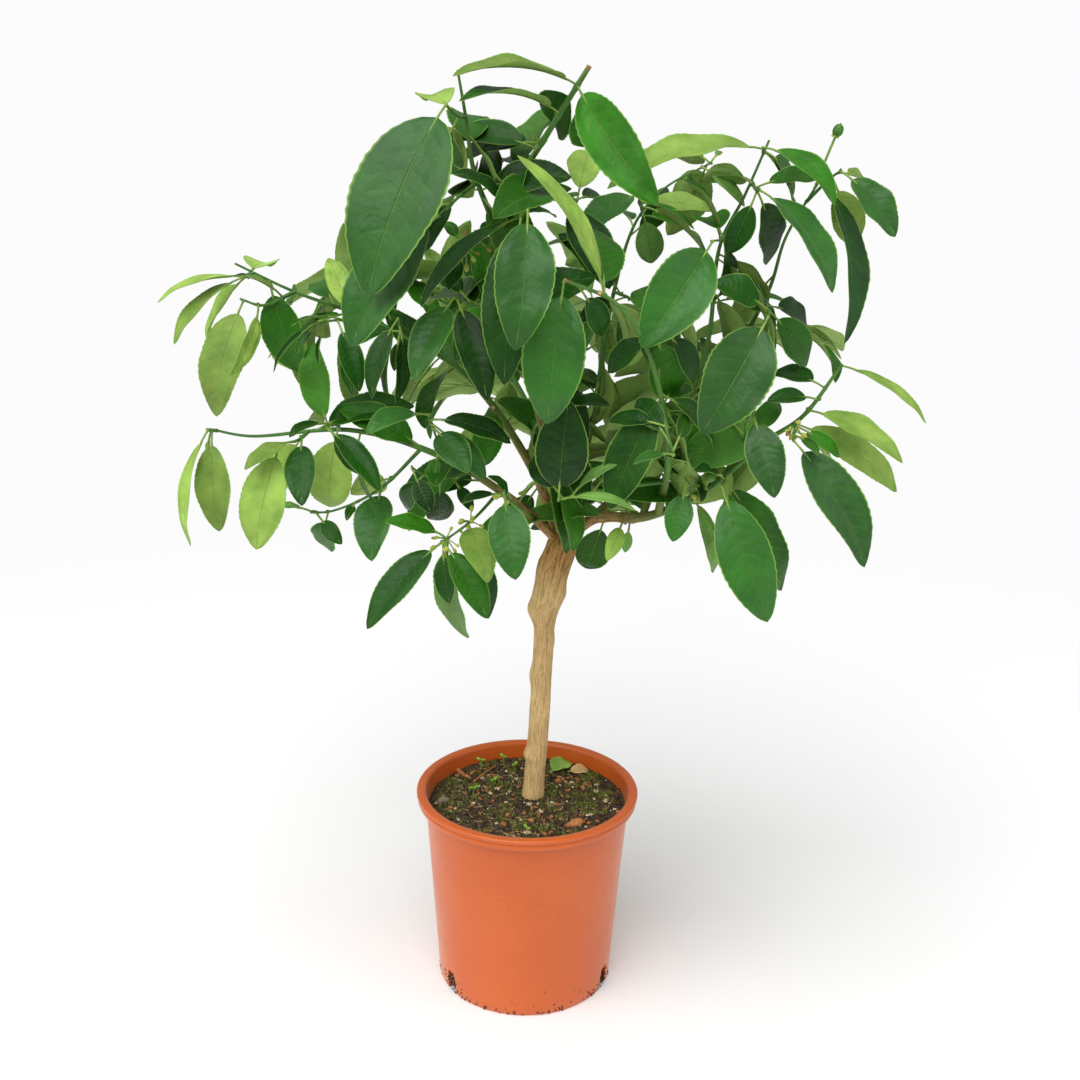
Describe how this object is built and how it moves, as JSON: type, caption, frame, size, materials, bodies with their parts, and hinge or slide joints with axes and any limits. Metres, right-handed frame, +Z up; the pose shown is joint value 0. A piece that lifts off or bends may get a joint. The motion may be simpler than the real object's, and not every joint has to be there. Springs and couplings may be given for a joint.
{
  "type": "potted lime tree",
  "caption": "Young citrus standard with a bare trunk and a round leafy crown, growing in a round plastic nursery pot with a rolled rim and drainage slots.",
  "frame": {"origin": "the middle of the flat underside of the pot", "axes": "+Z up along the trunk; the fullest side of the crown looks along -Y and +X is to its right"},
  "size_m": [0.58, 0.4213, 0.7557],
  "materials": {
    "terracotta_plastic": "satin moulded plastic, terracotta orange",
    "potting_soil": "dark bark compost with moss and perlite",
    "trunk_bark": "fine vertical striped tan bark",
    "green_bark": "smooth green bark, brown near the fork",
    "mature_leaf": "deep green leathery leaf with a satin gloss and pale margin",
    "young_leaf": "soft yellow-green young leaf",
    "young_fruit": "small green fruit with a yellow cap",
    "dry_leaf": "dry brown leaf and twig",
    "bark_chip": "brown bark chip",
    "pebble": "small grey-brown pebble"
  },
  "bodies": {
    "root": {"pot": "terracotta_plastic", "potting_soil": "potting_soil", "trunk": "trunk_bark", "limb_right": "mature_leaf", "limb_left_low": "green_bark", "limb_left_high": "green_bark", "leader": "mature_leaf", "limb_top_left": "green_bark", "limb_right_high": "green_bark", "limb_right_back": "green_bark", "limb_front": "mature_leaf", "limb_back": "mature_leaf", "limb_back_left": "green_bark", "limb_back_right": "green_bark", "shoot_tip_left_high": "young_leaf", "shoot_left_high_fan": "young_leaf", "shoot_left_high_dark": "mature_leaf", "shoot_left_high_inner": "mature_leaf", "shoot_tip_left_low": "young_leaf", "shoot_left_low_outer": "young_leaf", "shoot_left_low_fold": "mature_leaf", "shoot_left_low_drop": "mature_leaf", "shoot_left_low_front": "mature_leaf", "shoot_left_low_inner": "mature_leaf", "shoot_flowers_left": "mature_leaf", "shoot_low_middle": "mature_leaf", "shoot_top_big": "mature_leaf", "shoot_top_left_low": "mature_leaf", "shoot_leader_left": "mature_leaf", "shoot_leader_right": "mature_leaf", "shoot_leader_inner": "mature_leaf", "shoot_leader_flowers": "mature_leaf", "shoot_front_upright": "mature_leaf", "shoot_front_mid": "mature_leaf", "shoot_front_high": "mature_leaf", "shoot_right_high_big": "mature_leaf", "shoot_right_high_top": "mature_leaf", "shoot_right_high_side": "mature_leaf", "shoot_right_back_tip": "mature_leaf", "shoot_right_back_mid": "mature_leaf", "shoot_right_fan": "mature_leaf", "shoot_right_bluish": "mature_leaf", "shoot_right_drop": "mature_leaf", "shoot_right_low": "mature_leaf", "shoot_back_fine": "mature_leaf", "shoot_back_low": "mature_leaf", "shoot_far_left": "mature_leaf", "shoot_far_left_low": "mature_leaf", "shoot_far_top": "mature_leaf", "shoot_far_middle": "mature_leaf", "shoot_far_right": "mature_leaf", "shoot_far_right_low": "mature_leaf", "fruit_high": "young_fruit", "fruit_low": "young_fruit", "fallen_leaf": "young_leaf", "dry_leaf": "dry_leaf", "dry_twig": "dry_leaf", "bark_chip": "bark_chip", "pebble": "pebble"}
  },
  "joints": []
}
